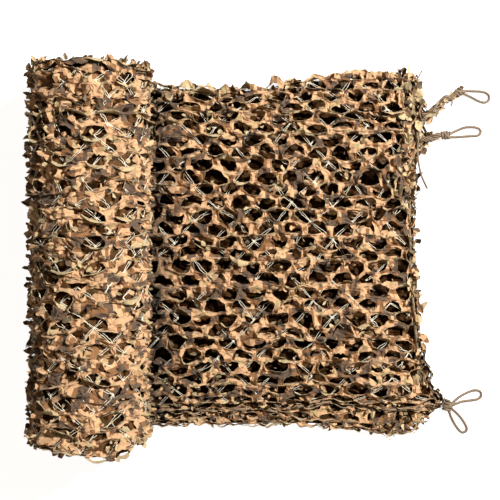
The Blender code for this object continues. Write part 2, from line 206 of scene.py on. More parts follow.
def waves(u, v, length, seed, count=6):
    """Smooth unevenness from about -1 to 1 whose waves are about that long."""
    rng = np.random.default_rng(seed)
    total = np.zeros(np.broadcast(u, v).shape)
    for _ in range(count):
        turn, phase = rng.uniform(0, 2 * math.pi, 2)
        wave = 2 * math.pi / (length * rng.uniform(0.7, 1.5))
        total += np.cos(wave * (u * math.cos(turn) + v * math.sin(turn)) + phase)
    return total / math.sqrt(count)


def unevenness(base, *rows):
    """A relief(u, v): waves of (height in millimetres, length, seed) over a base in millimetres."""
    def relief(u, v):
        return MM * (base + sum(height * waves(u, v, length, seed) for height, length, seed in rows))
    return relief


def gather(value, limit, zone):
    """Values past limit - zone crowd together before the limit, as cloth does on a drawn cord."""
    over = np.maximum(value - (limit - zone), 0.0)
    return np.where(over > 0, limit - zone * np.exp(-over / zone), value)


def gather_down(value, limit, zone):
    """The same for values that run down to a limit."""
    return -gather(-value, -limit, zone)


def turned(x, y, angle):
    """A place in the plane turned by an angle."""
    return x * np.cos(angle) - y * np.sin(angle), x * np.sin(angle) + y * np.cos(angle)


def smooth_route(points, step=2 * MM):
    """Points about every step along a Catmull-Rom curve through places in millimetres."""
    route = [Vector([float(c) * MM for c in point]) for point in points]
    padded = [2 * route[0] - route[1], *route, 2 * route[-1] - route[-2]]
    smooth = []
    for before, start, end, after in zip(padded, padded[1:], padded[2:], padded[3:]):
        pieces = max(1, round((end - start).length / step))
        for k in range(pieces):
            t = k / pieces
            smooth.append(0.5 * (2 * start + (end - before) * t
                                 + (2 * before - 5 * start + 4 * end - after) * t * t
                                 + (3 * start - before - 3 * end + after) * t ** 3))
    smooth.append(route[-1])
    return np.array(smooth)


def numbered(*shape):
    """A grid of running numbers."""
    return np.arange(math.prod(shape)).reshape(shape)


def squares(grid, over=False):
    """The corners of every square of grids of numbers, (..., rows, columns); over turns them over."""
    corners = (grid[..., :-1, :-1], grid[..., 1:, :-1], grid[..., 1:, 1:], grid[..., :-1, 1:])
    if over:
        corners = (corners[0], *corners[:0:-1])
    return np.stack(corners, axis=-1).reshape(-1, 4)


def new_piece(name, verts, faces, materials, uv=None, face_slots=None, smooth=True, caps=()):
    """A piece from arrays of points and quads, with its print places on each face's corners."""
    mesh = bpy.data.meshes.new(name)
    mesh.from_pydata((verts + MIDDLE).tolist(), [], [*faces.tolist(), *caps])
    for material in materials:
        mesh.materials.append(material)
    if uv is not None:
        layer = mesh.uv_layers.new(name="print")
        layer.data.foreach_set("uv", np.asarray(uv, np.float32).ravel())
    if face_slots is not None:
        mesh.polygons.foreach_set("material_index", np.asarray(face_slots, np.int32))
    mesh.polygons.foreach_set("use_smooth", [smooth] * len(mesh.polygons))
    mesh.update()
    piece = bpy.data.objects.new(name, mesh)
    bpy.context.scene.collection.objects.link(piece)
    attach(piece, BODY)
    return piece


def grid_piece(name, places, flat, materials, over=False, smooth=True):
    """A piece from grids of places, (..., rows, columns, xyz), and of where they lie on the print."""
    faces = squares(numbered(*places.shape[:-1]), over)
    return new_piece(name, places.reshape(-1, 3), faces, materials, flat.reshape(-1, 2)[faces],
                     smooth=smooth)


def finish_cloth(piece, thickness, node, **laid):
    """Give cloth two sides, the reverse one slot on, and hide the frame's part that it stands for."""
    cloth = piece.modifiers.new("cloth", "SOLIDIFY")
    cloth.thickness = thickness
    cloth.offset = -1.0
    cloth.use_even_offset = False
    cloth.material_offset = 1
    cloth.material_offset_rim = 1
    if node:
        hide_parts(node)


def tubes(lines, radius, sides):
    """Points and quads of tubes along lines, an array of (line, point, xyz).

    radius may change along a line and from side to side: (line, point, side) or fewer.
    """
    count, steps = lines.shape[:2]
    ahead = np.gradient(lines, axis=1)
    ahead /= np.linalg.norm(ahead, axis=2, keepdims=True) + 1e-12
    steep = np.abs(ahead[..., 2:]) > 0.9
    up = np.where(steep, np.array((1.0, 0.0, 0.0)), np.array((0.0, 0.0, 1.0)))
    aside = np.cross(ahead, up)
    aside /= np.linalg.norm(aside, axis=2, keepdims=True) + 1e-12
    above = np.cross(aside, ahead)
    turn = 2 * math.pi * np.arange(sides)[:, None] / sides
    spokes = np.cos(turn) * aside[:, :, None] + np.sin(turn) * above[:, :, None]
    rings = lines[:, :, None] + np.broadcast_to(radius, (count, steps, sides))[..., None] * spokes
    here = (np.arange(count)[:, None] * steps + np.arange(steps - 1)).reshape(-1, 1) * sides
    side = np.arange(sides)
    following = (side + 1) % sides
    faces = np.stack([here + side, here + following, here + sides + following, here + sides + side],
                     axis=-1)
    return rings.reshape(-1, 3), faces.reshape(-1, 4)


# ------------------------------------------------------------------ the surfaces cloth lies on

def ridge_height(x, y):
    """Height that the soft ridges add at a place of the loose end."""
    height = np.zeros_like(x)
    for x0, y0, x1, y1, crest, width in RIDGES:
        start = np.array((x0, y0)) * MM
        run = np.array((x1 - x0, y1 - y0)) * MM
        share = np.clip(((x - start[0]) * run[0] + (y - start[1]) * run[1]) / run.dot(run), 0, 1)
        away = np.hypot(x - start[0] - share * run[0], y - start[1] - share * run[1]) / (width * MM)
        height += crest * MM * np.exp(-away * away)
    return height


def upper_height(x, y):
    """Height of the upper layer, lower towards its open edges and under the roll."""
    wave = np.sin(19.0 * x + 11.0 * y) + 0.6 * np.sin(31.0 * y - 7.0 * x + 0.8)
    full = LAYER_HEIGHT + 0.6 * LAYER_WAVE * wave + ridge_height(x, y)
    inside = np.minimum((free_end_x(y) - x) / (70 * MM), (y - along(UPPER_RIM, x)) / (60 * MM))
    low = LAYER_DROP + (full - LAYER_DROP) * ease(inside)
    beside_roll = BESIDE_ROLL + (low - BESIDE_ROLL) * ease((x - SHEET_LEFT) / (60 * MM))
    near_fold = ease((along(FOLD_LINE, x) - y) / (40 * MM))
    return np.where(x < FOLD_END, FOLD_HEIGHT + (beside_roll - FOLD_HEIGHT) * near_fold, beside_roll)


def lower_height(x, y):
    """Height of the lower layer: on the floor, lifting a little along its rim."""
    past = ease((along(UPPER_RIM, x) - 6 * MM - y) / (28 * MM))
    return UNDER_HEIGHT + past * (2.5 + 2.5 * np.sin(x / (17 * MM))) * MM


def row_y(v):
    """Where a row at v lies: the rows close up towards the fold and towards the near rim."""
    return v - np.copysign(ROW_CROWDING * np.maximum(0.0, np.abs(v) - CROWDING_START), v)


def ragged_end(y, seed):
    """The free end's edge at y, ragged from row to row."""
    return free_end_x(y) + 5 * MM * waves(y, 0.0, 0.035, seed)


def lay_on_upper(u, v, lift):
    """A place of the upper layer and of the fold, raised off it by lift."""
    y = row_y(v)
    end = ragged_end(y, 12) + 4 * MM
    crowd_end = ease((u - end + END_GATHER) / END_GATHER)
    x = gather_down(gather(u, end, END_GATHER), TUCKED_TO, TUCK)
    rim = along(UPPER_RIM, x) + 4 * MM * waves(x, 0.0, 0.04, 13)
    crowd_rim = ease((rim + RIM_GATHER - y) / RIM_GATHER)
    y = gather_down(y, rim, RIM_GATHER)
    fold = along(FOLD_LINE, x)
    bend = np.clip((y - fold) / FOLD_RADIUS, 0.0, math.pi)
    past = np.maximum(y - fold - math.pi * FOLD_RADIUS, 0.0)
    flat_y = np.minimum(y, fold)
    y = flat_y + (FOLD_RADIUS + lift) * np.sin(bend) - past
    z = upper_height(x, flat_y) - FOLD_RADIUS * (1 - np.cos(bend)) + lift * np.cos(bend)
    sway = 1.5 * waves(u, v, 0.07, 11)
    z += crowd_rim * (3.0 * np.sin(v / RIM_RIPPLE + sway) + 1.5 * np.sin(u / (4 * MM) + sway)) * MM
    z += 2.5 * MM * crowd_end * np.sin(u / END_RIPPLE + sway)
    return np.stack([x, y, np.maximum(z, 1.0 * MM)], axis=-1)


def lay_on_lower(u, v, lift):
    """A place of the lower layer, raised off it by lift."""
    y = row_y(v)
    x = gather(u, ragged_end(y, 14) - 2 * MM, UNDER_END_GATHER)
    x = gather_down(x, TUCKED_TO, TUCK)
    rim = along(LOWER_RIM, x) + 4 * MM * waves(x, 0.0, 0.03, 15)
    crowd_rim = ease((rim + LOWER_GATHER - y) / LOWER_GATHER)
    y = gather_down(y, rim, LOWER_GATHER)
    y = np.minimum(y, along(FOLD_LINE, x) + 2 * MM)
    ripple = 1 + np.sin(v / RIM_RIPPLE + 2 * waves(u, v, 0.06, 17))
    z = lower_height(x, y) + lift + 2.5 * MM * crowd_rim * ripple
    return np.stack([x, y, np.maximum(z, 0.6 * MM)], axis=-1)


def roll_reach(angle, end):
    """How much further than its plain end the roll stands out at an angle: its ends are rounded."""
    cosine, far, near = np.array(ROLL_REACH, float).T
    return np.interp(np.cos(angle), cosine, far if end > 0 else near) * MM


def roll_point(angle, y, radius):
    """A place on the roll at an angle round its axis, y along it and a radius."""
    height = ROLL_RADIUS - ROLL_FLAT + radius * np.sin(angle)
    lean = -ROLL_SKEW * np.sin(angle) * radius / ROLL_RADIUS
    return np.stack([ROLL_X + radius * np.cos(angle), y + lean, np.maximum(height, 0.8 * MM)], axis=-1)


def lay_on_roll(u, v, lift):
    """A place of the roll's outer turn, raised off it by lift."""
    angle = -u / ROLL_RADIUS
    broad = np.sin(2 * angle + 9.0 * v) + 0.7 * np.sin(3 * angle - 13.0 * v + 1.1)
    ragged = 4 * MM * waves(u, 0.0, 0.04, 16)
    y = gather(v, ROLL_FAR_END + roll_reach(angle, 1) + ragged, ROLL_GATHER)
    y = gather_down(y, ROLL_NEAR_END - roll_reach(angle, -1) - ragged, ROLL_GATHER)
    radius = ROLL_RADIUS - ROLL_SLACK + 0.5 * ROLL_LUMP * broad
    return roll_point(angle, y, radius + np.minimum(lift, 12 * MM))


# ------------------------------------------------------------------ die-cut net

TOP_STEPS = 8        # steps along a tile's long side, so that a half shift meets the next row
SIDE_STEPS = 4
CUT_BULGE = 0.65     # how far tiles reach between their neighbours above and below, in steps
RINGS = 3            # rings of faces between a tile's edge and its cut
TONGUE_ACROSS = 6
TONGUE_ALONG = 5
TONGUE_STEPS = 12    # steps in which a tongue's bend is summed up
EDGE_KEYS = 100000   # keeps the numbers of shared edge points apart from those inside a tile

# Tongues come in kinds, told apart by a random number up to 1: rows of (up to, least, most). Most of
# those of the pulled-open net hang into the opening, and some curl up and show the reverse.
LOOSE_TONGUES = {
    "length": (0.011, 0.021),
    "bend": ((0.55, -1.9, -1.3), (0.85, -1.3, -0.8), (0.91, 0.5, 1.0), (1.0, 1.6, 2.3)),
    "more": ((0.85, -0.7, 0.5), (0.91, 0.0, 1.2), (1.0, 0.2, 0.8)),
    "twist": 5.5 * MM,
}
# On the roll the cuts have nearly closed: tongues lie in them, sunk or lifted a little
ROLLED_TONGUES = {
    "length": (0.013, 0.018),
    "bend": ((0.45, -0.6, 0.1), (0.62, -1.5, -0.7), (0.80, 0.3, 0.9), (1.0, 1.3, 2.4)),
    "more": ((0.45, -0.4, 0.5), (0.80, -0.6, 0.9), (1.0, 0.2, 1.0)),
    "twist": 4.0 * MM,
}


def by_kind(rng, kind, rows):
    """A random number for each tongue from the range of its kind."""
    values = [rng.uniform(least, most, len(kind)) for _, least, most in rows]
    return np.select([kind < upto for upto, _, _ in rows], values)


def tongue_bends(rng, count, length, bend, more, twist):
    """Each tongue's length, first bend, further bend and twist."""
    kind = rng.random(count)
    length = rng.uniform(*length, count)
    bend = by_kind(rng, kind, bend)
    more = by_kind(rng, kind, more)
    return length, bend, more, rng.normal(0.0, twist, count)


def tile_edge():
    """A tile's edge in whole steps, anticlockwise from its lower left corner."""
    half_top, half_side = TOP_STEPS // 2, SIDE_STEPS // 2
    bottom = [(k - half_top, -half_side) for k in range(TOP_STEPS)]
    right = [(half_top, k - half_side) for k in range(SIDE_STEPS)]
    top = [(half_top - k, half_side) for k in range(TOP_STEPS)]
    left = [(-half_top, half_side - k) for k in range(SIDE_STEPS)]
    return np.array(bottom + right + top + left)


def cut_outline(turn, width, height, lean=0.0):
    """The opening's edge: flat towards the tongue's root, round opposite, sharp at both sides."""
    up = np.sin(turn)
    rise = 0.32 + np.where(up > 0, 0.17 * np.abs(up) ** 0.6, -0.84 * np.abs(up) ** 0.85)
    across = np.cos(turn)
    return 0.5 * width * (across + lean * (1 - across * across)), rise * height


def lobes(across, turn):
    """The four waves round a cut that its lip curls in."""
    return np.stack([across, np.sin(turn), np.cos(2 * turn), np.sin(2 * turn)], axis=-1)


def drifted(flat, seed):
    """Places pulled a little out of their lattice, as a net laid by hand is."""
    u, v = flat.reshape(-1, 2).T
    return (u + 3.0 * MM * waves(u, v, 0.10, seed + 100), v + 3.4 * MM * waves(u, v, 0.11, seed + 200))


def net_cloth(name, tiles, pitch, start, opening, lay, relief, tongues, materials, seed, around=0,
              painted_shade_faces=None):
    """Cloth with a cut and its tongue in every tile.

    tiles holds (column, row) pairs, pitch apart from start; opening is the (width, height) of a
    pulled-open cut; relief(u, v) is the cloth's own unevenness; around is the number of columns that
    close into a ring, or 0; the last argument picks the faces that take the second pair of materials,
    copies of the print that paint the shade of cloth lying under other cloth.
    """
    rng = np.random.default_rng(seed)
    count = len(tiles)
    edge = tile_edge()
    points = len(edge)
    odd = tiles[:, 1:] % 2
    side = 1 - 2 * odd                   # every second row is turned round
    centre = tiles * (TOP_STEPS, SIDE_STEPS) + odd * (TOP_STEPS // 2, 0)
    corners = centre[:, None] + side[:, None] * edge
    step = np.array(pitch) / (TOP_STEPS, SIDE_STEPS)
    middle = start + centre * step

    turn = 2 * math.pi * (np.arange(points) - TOP_STEPS - SIDE_STEPS // 2) / points
    size = np.clip(rng.normal(1.0, 0.09, (count, 2)), 0.75, 1.2)
    lean = rng.normal(0.0, 0.30, (count, 1)) * (np.sin(turn) < 0)
    cut = cut_outline(turn[None], opening[0] * size[:, :1], opening[1] * size[:, 1:], lean)
    skewed = rng.normal(0.0, 0.17, (count, 1))
    cut = np.stack(turned(*cut, skewed), axis=-1)
    middle_of_cut = middle + rng.normal(0.0, 1.9 * MM, (count, 2))
    ragged = rng.normal(0.0, 1.1 * MM, (count, points, 2))
    hole = middle_of_cut[:, None] + side[:, None] * cut + ragged
    bulge = CUT_BULGE * np.cos(2 * math.pi * edge[:, 0] / TOP_STEPS) * 2 * edge[:, 1] / SIDE_STEPS
    outside = start + (corners + side[:, None] * np.stack([0 * bulge, bulge], axis=-1)) * step

    inward = (np.arange(RINGS + 1) / RINGS) ** 0.85
    flat = outside[:, None] + (hole - outside)[:, None] * inward[:, None, None]
    curl = rng.normal(0.0, 3.3 * MM, (count, 1, 4)) - np.array((0.0, 2.0 * MM, 0.0, 0.0))
    lip = (curl * lobes(np.cos(turn), turn)).sum(axis=-1)
    lift = relief(flat[..., 0], flat[..., 1]) + lip[:, None] * inward[:, None] ** 2
    lift += rng.normal(0.0, 1.1 * MM, lift.shape)

    key = np.zeros((count, RINGS + 1, points, 2), np.int64)
    key[:, 0] = corners
    if around:
        key[:, 0, :, 0] %= around * TOP_STEPS
    key[:, 0] += EDGE_KEYS
    key[:, 1:, :, 0] = -1 - np.arange(count)[:, None, None]
    key[:, 1:, :, 1] = numbered(RINGS, points)
    _, first, index = np.unique(key.reshape(-1, 2), axis=0, return_index=True, return_inverse=True)
    own = numbered(count, RINGS + 1, points)
    faces = squares(np.concatenate([own, own[..., :1]], axis=-1), over=True)
    verts = lay(*drifted(flat.reshape(-1, 2)[first], seed), lift.ravel()[first])

    length, bend, more, twist = tongue_bends(rng, count, **tongues)
    across = np.linspace(-1, 1, TONGUE_ACROSS)
    share = np.linspace(0, 1, TONGUE_ALONG)
    angle = bend[:, None] + more[:, None] * np.linspace(0, 1, TONGUE_STEPS + 1)
    ways = np.stack([np.cos(angle), np.sin(angle)])
    ways[..., 0] = 0.0
    pick = np.round(share * TONGUE_STEPS).astype(int)
    run, climb = length[:, None] * np.cumsum(ways, axis=-1)[..., pick] / TONGUE_STEPS
    narrow = np.sqrt(1 - (0.93 * share) ** 2)[:, None]
    wide = 0.5 * opening[0] * size[:, :1, None] * narrow * across
    root_turn = np.arccos(np.clip(across, -0.999, 0.999))
    _, root = cut_outline(root_turn[None], opening[0], opening[1] * size[:, 1:])
    share = share[:, None]
    skew = twist[:, None, None] * across * share
    out = root[:, None] * (1 - 0.4 * share) - run[:, :, None]
    away = np.stack(turned(wide + 0.3 * skew, out, skewed[..., None]), axis=-1)
    lying = middle_of_cut[:, None, None] + side[:, None, None] * away
    root_lip = (curl * lobes(across, root_turn)).sum(axis=-1)
    root_lift = (relief(lying[:, 0, :, 0], lying[:, 0, :, 1]) + root_lip)[:, None]
    crumple = rng.normal(0.0, 1.0 * MM, (count, TONGUE_ALONG, TONGUE_ACROSS)) * (share > 0)
    tongue_lift = root_lift * (1 - 0.4 * share) + climb[:, :, None] + skew + crumple
    printed = lying.copy()
    printed[..., 1] = middle[:, 1:, None] + side[..., None] * (root[:, None]
                                                               - length[:, None, None] * share)
    tongue_faces = squares(numbered(*tongue_lift.shape))

    quads = np.concatenate([index.ravel()[faces], len(verts) + tongue_faces])
    verts = np.concatenate([verts, lay(*drifted(lying, seed), tongue_lift.ravel())])
    uv = np.concatenate([flat.reshape(-1, 2)[faces], printed.reshape(-1, 2)[tongue_faces]])
    # Faces picked here take the second pair of materials, painted shade
    face_slots = None if painted_shade_faces is None else 2 * painted_shade_faces(verts[quads].mean(axis=1))
    return new_piece(name, verts, quads, materials, uv, face_slots, smooth=False)


def lattice(columns, rows):
    """Every (column, row), row by row."""
    return np.array([(column, row) for row in rows for column in columns])


def tiles_inside(columns, rows, pitch, start, near_rim, far_reach):
    """Tiles of the loose end that lie between its rims, with some more to gather at each edge."""
    tiles = lattice(columns, rows)
    x = start[0] + (tiles[:, 0] + 0.5 * (tiles[:, 1] % 2)) * pitch[0]
    x = np.minimum(x, 384 * MM)
    y = row_y(start[1] + tiles[:, 1] * pitch[1])
    before_end = x < free_end_x(y) + 34 * MM
    past_rim = y > along(near_rim, x) - 32 * MM
    return tiles[before_end & past_rim & (y < along(FOLD_LINE, x) + far_reach)]


LEAF_STEPS = 5
LEAF_ACROSS = 3
LEAF_FILL = 0.8          # a leaf's area as a share of its length times its width
LEAF_STRIP = 30 * MM     # the leaves' area is passed on as one strip of cloth this wide


def loose_leaves(name, rng, roots, heading, tilt, length, width, bend, seed, node=None, lay=None):
    """Leaf-shaped ends of cloth, each from its root towards its heading, tilted up and then bent.

    tilt and bend are (mean, spread), length and width (least, most), all drawn from rng; seed is for
    the leaves' outlines. With a lay function the roots are lattice places and heights over the cloth,
    else plain places.
    """
    count = len(roots)
    tilt = rng.normal(*tilt, count)
    length = rng.uniform(*length, count)
    width = rng.uniform(*width, count)
    bend = rng.normal(*bend, count)
    shapes = np.random.default_rng(seed)
    share = np.linspace(0, 1, LEAF_STEPS)
    across = np.linspace(-1, 1, LEAF_ACROSS)
    angle = tilt[:, None] + bend[:, None] * share
    step = length[:, None] / (LEAF_STEPS - 1)
    out = np.cumsum(np.cos(angle), axis=1) * step - step
    up = np.cumsum(np.sin(angle), axis=1) * step - step
    widest = shapes.uniform(0.7, 1.5, (count, 1))
    half = 0.5 * width[:, None] * np.sin(math.pi * (0.10 + 0.88 * share ** widest)) ** 0.75
    half = half[:, :, None] * across
    roll = shapes.normal(0.0, 0.5, (count, 1, 1)) + shapes.normal(0.0, 0.6, (count, 1, 1)) * across
    turned_over = np.where(shapes.random(count) < 0.3, -1.0, 1.0)[:, None]
    forward = np.stack([np.cos(heading), np.sin(heading), 0 * heading], axis=-1)
    aside = turned_over * np.stack([-np.sin(heading), np.cos(heading), 0 * heading], axis=-1)
    sideways = half * np.cos(roll) * shapes.normal(1.0, 0.2, (count, LEAF_STEPS, LEAF_ACROSS))
    raised = up[:, :, None] + half * np.sin(roll)
    verts = (roots[:, None, None] + out[:, :, None, None] * forward[:, None, None]
             + sideways[..., None] * aside[:, None, None])
    verts[..., 2] += raised
    if lay is not None:
        verts = lay(verts[..., 0], verts[..., 1], verts[..., 2])
    verts[..., 2] = np.maximum(verts[..., 2], 0.7 * MM)
    place = shapes.uniform(-0.5, 0.5, (count, 1, 1, 2))
    inside = np.broadcast_arrays(length[:, None, None] * share[:, None], half)
    piece = grid_piece(name, verts, place + np.stack(inside, axis=-1), cloth_materials(), smooth=False)
    area = float((length * width * LEAF_FILL).sum())
    finish_cloth(piece, bpy.context.scene.netting_sizes.cloth, node,
                 flat=(LEAF_STRIP, area / LEAF_STRIP), held="hung")


# ------------------------------------------------------------------ materials

PRINT_SQUARE = 8.0 * MM      # the print's smallest square
PRINT_BLOTCH = 40.0 * MM     # its blotches from edge to edge
# Where each tone of the print begins, from 0 to 1
PRINT_TONES = ((0.0, "dark"), (0.445, "brown"), (0.485, "tan"), (0.60, "pale"), (0.635, "tan"))
SINGLE_SQUARES = 0.955       # random numbers over this make single brown squares
REVERSE_COVER = 0.78         # how much of the print the khaki of the reverse hides
WEAVE_SHOWN = 2.4 * MM       # threads lie 0.4 mm apart; drawn coarser, so that they show at all
CRUMPLE = 9.0 * MM
WEAR = 6.0 * MM
PAINTED_SHADE_TO = -138.0 * MM      # the cloth beside the roll, up to here, is painted in shade: the shade of the hollow between the roll and the loose end
PAINTED_SHADE_FADE = 40.0 * MM


def add_node(tree, kind, settings=None, links=None):
    """Add a node, set its properties and sockets, and link sockets by name or number."""
    node = tree.nodes.new(kind)
    for name, value in (settings or {}).items():
        if isinstance(name, int) or name in node.inputs:
            node.inputs[name].default_value = value
        else:
            setattr(node, name, value)
    for name, source in (links or {}).items():
        tree.links.new(source, node.inputs[name])
    return node


def new_material(name, roughness, specular=0.5):
    """A material, its node tree and its Principled shader."""
    material = bpy.data.materials.new(name)
    material.use_nodes = True
    shader = material.node_tree.nodes["Principled BSDF"]
    shader.inputs["Roughness"].default_value = roughness
    shader.inputs["Specular IOR Level"].default_value = specular
    return material, material.node_tree, shader


def printed_oxford(name, colours, reverse=False, matt=False):
    """Polyester oxford cloth, roller printed and die-cut: matt, a faint sheen along the threads.

    The print is a desert camouflage of soft blotches built from small squares; the reverse shows
    the same print only as a weak shadow through pale khaki.
    """
    _, tree, shader = new_material(name, 0.78, 0.0 if matt else 0.2)
    shader.inputs["Sheen Weight"].default_value = 0.0 if matt else 0.06
    shader.inputs["Sheen Roughness"].default_value = 0.5
    place = add_node(tree, "ShaderNodeUVMap", {"uv_map": "print"}).outputs[0]
    snap = {"operation": "SNAP", 1: (PRINT_SQUARE, PRINT_SQUARE, 1.0)}
    squared = add_node(tree, "ShaderNodeVectorMath", snap, {0: place}).outputs[0]
    blotches = add_node(tree, "ShaderNodeTexNoise",
                        {"Scale": 1 / PRINT_BLOTCH, "Detail": 3.0, "Roughness": 0.65},
                        {"Vector": squared})
    tones = add_node(tree, "ShaderNodeValToRGB", {}, {"Fac": blotches.outputs["Fac"]})
    ramp = tones.color_ramp
    ramp.interpolation = "CONSTANT"
    for k, (position, tone) in enumerate(PRINT_TONES):
        stop = ramp.elements[k] if k < 2 else ramp.elements.new(position)
        stop.position = position
        stop.color = (*colours[tone], 1)
    single = add_node(tree, "ShaderNodeTexWhiteNoise", {"noise_dimensions": "2D"}, {"Vector": squared})
    few = add_node(tree, "ShaderNodeMath", {"operation": "GREATER_THAN", 1: SINGLE_SQUARES},
                   {0: single.outputs["Value"]})
    printed = add_node(tree, "ShaderNodeMix", {"data_type": "RGBA", 7: (*colours["brown"], 1)},
                       {0: few.outputs[0], 6: tones.outputs["Color"]}).outputs[2]
    if reverse:
        shadow = {"data_type": "RGBA", 0: REVERSE_COVER, 7: (*colours["reverse"], 1)}
        printed = add_node(tree, "ShaderNodeMix", shadow, {6: printed}).outputs[2]
    fine = add_node(tree, "ShaderNodeTexNoise", {"Scale": 1 / WEAR, "Detail": 3.0}, {"Vector": place})
    worn = add_node(tree, "ShaderNodeMapRange",
                    {"From Min": 0.3, "From Max": 0.7, "To Min": 0.85, "To Max": 1.12},
                    {"Value": fine.outputs["Fac"]})
    # Painted shade beside the roll: print places further left than the limit above are shaded down to
    # 0.38 of the colour
    across = add_node(tree, "ShaderNodeSeparateXYZ", {}, {0: place})
    painted_valley_shade = add_node(tree, "ShaderNodeMapRange",
                      {"From Min": PAINTED_SHADE_TO - PAINTED_SHADE_FADE, "From Max": PAINTED_SHADE_TO, "To Min": 0.38},
                      {"Value": across.outputs[0]})
    shade = add_node(tree, "ShaderNodeMath", {"operation": "MULTIPLY"},
                     {0: worn.outputs[0], 1: painted_valley_shade.outputs[0]})
    colour = add_node(tree, "ShaderNodeVectorMath", {"operation": "SCALE"},
                      {0: printed, "Scale": shade.outputs[0]})
    tree.links.new(colour.outputs[0], shader.inputs["Base Color"])
    weave = add_node(tree, "ShaderNodeTexChecker", {"Scale": 1 / WEAVE_SHOWN}, {"Vector": place})
    crumple = add_node(tree, "ShaderNodeTexNoise", {"Scale": 1 / CRUMPLE, "Detail": 3.0},
                       {"Vector": place})
    relief = add_node(tree, "ShaderNodeMath", {"operation": "MULTIPLY_ADD", 1: 0.06},
                      {0: weave.outputs["Fac"], 2: crumple.outputs["Fac"]})
    bump = add_node(tree, "ShaderNodeBump", {"Strength": 0.8, "Distance": 0.003},
                    {"Height": relief.outputs[0]})
    tree.links.new(bump.outputs["Normal"], shader.inputs["Normal"])


def plain_fibre(name, colour, rough, grain, depth):
    """Synthetic string or laid rope: drawn fibres twisted together, with a random mottle that also
    drives the bump, so the grooves are painted in shade as well as varied in tone.
    """
    _, tree, shader = new_material(name, rough, 0.35)
    place = add_node(tree, "ShaderNodeTexCoord").outputs["Object"]
    mottle = add_node(tree, "ShaderNodeTexNoise", {"Scale": 1 / grain, "Detail": 3.0},
                      {"Vector": place}).outputs["Fac"]
    # Colour follows the bump's mottle: random tone, and painted shade in its hollows
    shade = add_node(tree, "ShaderNodeMapRange",
                     {"From Min": 0.3, "From Max": 0.7, "To Min": 0.72, "To Max": 1.15},
                     {"Value": mottle})
    scaled = add_node(tree, "ShaderNodeVectorMath", {"operation": "SCALE", 0: colour},
                      {"Scale": shade.outputs[0]})
    tree.links.new(scaled.outputs[0], shader.inputs["Base Color"])
    bump = add_node(tree, "ShaderNodeBump", {"Strength": 0.5, "Distance": depth}, {"Height": mottle})
    tree.links.new(bump.outputs["Normal"], shader.inputs["Normal"])


def materials():
    """The netting's materials, made once."""
    if "printed_oxford_cloth" not in bpy.data.materials:
        looks = bpy.context.scene.netting_looks
        colours = {name: getattr(looks, name) for name in ("tan", "brown", "dark", "pale", "reverse")}
        printed_oxford("printed_oxford_cloth", colours)
        printed_oxford("printed_oxford_reverse", colours, reverse=True)
        # Copies of the print in shade, painted shade: near-black for the layers under the loose end and
        # the roll's inner turns, dark for the roll's second turn; matt, without sheen
        for name, shares in (("printed_oxford_painted_deep_shade", (0.10, 0.08, 0.06)),
                             ("printed_oxford_painted_shade_second_turn", (0.17, 0.14, 0.11))):
            shaded = {tone: tuple(share * c for share, c in zip(shares, colour))
                      for tone, colour in colours.items()}
            printed_oxford(name, shaded, matt=True)
        plain_fibre("twisted_backing_string", looks.string, 0.55, 3 * MM, 0.0003)
        plain_fibre("laid_polypropylene_rope", looks.rope, 0.62, 4 * MM, 0.0006)
    return bpy.data.materials


def cloth_materials():
    """The print outside and the paler reverse inside."""
    made = materials()
    return [made["printed_oxford_cloth"], made["printed_oxford_reverse"]]


# ------------------------------------------------------------------ properties

def length_property(name, description, default):
    """A length in metres that a user may change."""
    return bpy.props.FloatProperty(name=name, description=description, default=default, unit="LENGTH")


def colour_property(name, description, default):
    """A colour that a user may change, from its sRGB hex value."""
    return bpy.props.FloatVectorProperty(name=name, description=description, subtype="COLOR",
                                         default=linear(default))


class NettingSizes(bpy.types.PropertyGroup):
    """Sizes of the cloth and its cuts"""
    cut_pitch: length_property("Cut pitch", "From one cut to the next along a row", 0.0505)
    row_pitch: length_property("Row pitch", "From one row of cuts to the next", 0.0256)
    opening_width: length_property("Opening width", "Width of a pulled-open cut", 0.0382)
    opening_height: length_property("Opening height", "Height of a pulled-open cut", 0.0248)
    cloth: length_property("Cloth thickness", "Thickness of the printed cloth", 0.0005)
    string: length_property("String diameter", "Thickness of a backing string", 0.0008)
    string_mesh: length_property("Backing mesh", "Width of the backing net's diamonds", 0.078)
    rope: length_property("Rope diameter", "Thickness of the edge rope", 0.006)


class NettingLooks(bpy.types.PropertyGroup):
    """Colours of the netting"""
    tan: colour_property("Tan", "Ground colour of the print", "#A6815C")
    brown: colour_property("Brown", "Middle tone of the print", "#6D4A2A")
    dark: colour_property("Dark", "Darkest tone of the print", "#4D3B2B")
    pale: colour_property("Pale", "Lightest tone of the print", "#8C7750")
    reverse: colour_property("Reverse", "The cloth's unprinted side", "#A08D67")
    string: colour_property("String", "Backing string", "#E0D6BC")
    rope: colour_property("Rope", "Edge rope and loops", "#63503A")


# ------------------------------------------------------------------ cloth

class NETTING_OT_lowest_layer(bpy.types.Operator):
    """Lay the lowest layer, in a near-black copy of the print that paints the shade it lies in; it is
    only seen through the cuts
    """
    bl_idname = "netting.lowest_layer"
    bl_label = "Lowest layer"

    def execute(self, context):
        left, widest = -262 * MM, 300 * MM
        share_x, share_y = np.meshgrid(np.linspace(0, 1, 61), np.linspace(0, 1, 67), indexing="ij")
        x = np.maximum(left + (widest - left) * share_x, SHEET_LEFT)
        near = along(LOWER_RIM, x) + 5 * MM
        y = near + (along(FOLD_LINE, x) - 3 * MM - near) * share_y
        x = left + (free_end_x(y, NEAR_CORNER + FREE_END) - 7 * MM - left) * share_x
        z = 1.4 * MM + 0.5 * MM * waves(x, y, 0.03, 71)
        # near-black copy of the print: painted shade
        inner = materials()["printed_oxford_painted_deep_shade"]
        piece = grid_piece("loose_end_lowest_layer", np.stack([x, y, z], axis=-1),
                           np.stack([x, y], axis=-1), [inner, inner])
        finish_cloth(piece, context.scene.netting_sizes.cloth, "net_loose_end", flat=(0.58, 0.72),
                     held="laid")
        return {"FINISHED"}


